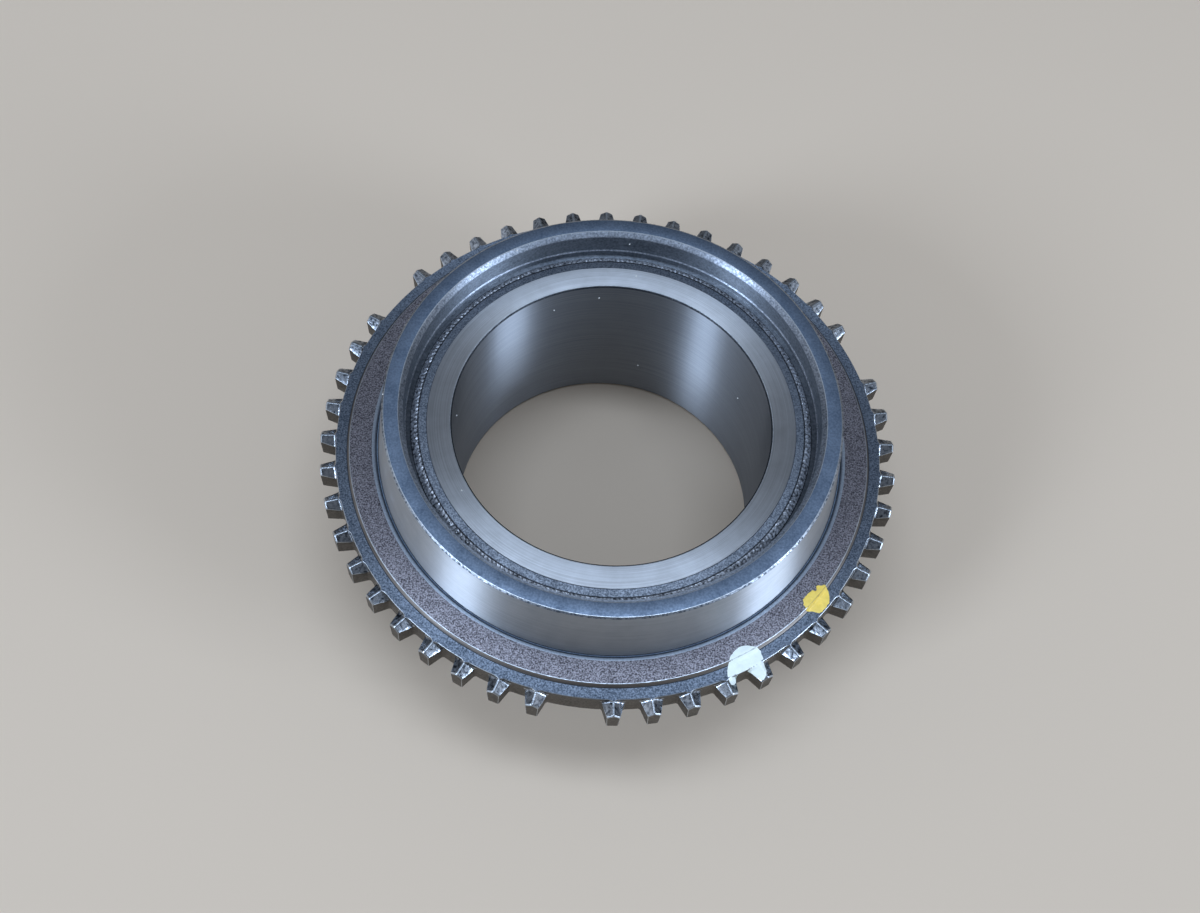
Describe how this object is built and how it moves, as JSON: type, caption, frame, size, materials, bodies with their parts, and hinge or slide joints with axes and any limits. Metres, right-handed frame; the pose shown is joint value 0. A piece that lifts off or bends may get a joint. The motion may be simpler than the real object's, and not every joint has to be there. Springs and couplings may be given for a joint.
{
  "type": "transmission gear",
  "caption": "Manual gearbox speed gear: plain running bore, helical running teeth, and a welded clutch ring with gabled clutch teeth and a tapered friction cone.",
  "frame": {"origin": "on the bore's axis, in the plane of the back thrust face that the gear stands on", "axes": "+Z along the bore towards the friction cone; a place with no clutch tooth faces -Y"},
  "size_m": [0.1152, 0.1149, 0.0441],
  "materials": {
    "gear_steel": "ground bore and thrust faces, satin",
    "ring_steel": "hardened and blasted grey, with a ground cone",
    "weld_metal": "dark rippled beam weld"
  },
  "bodies": {
    "root": {"gear_body": "gear_steel", "clutch_ring": "ring_steel", "weld_bead": "weld_metal"}
  },
  "joints": []
}
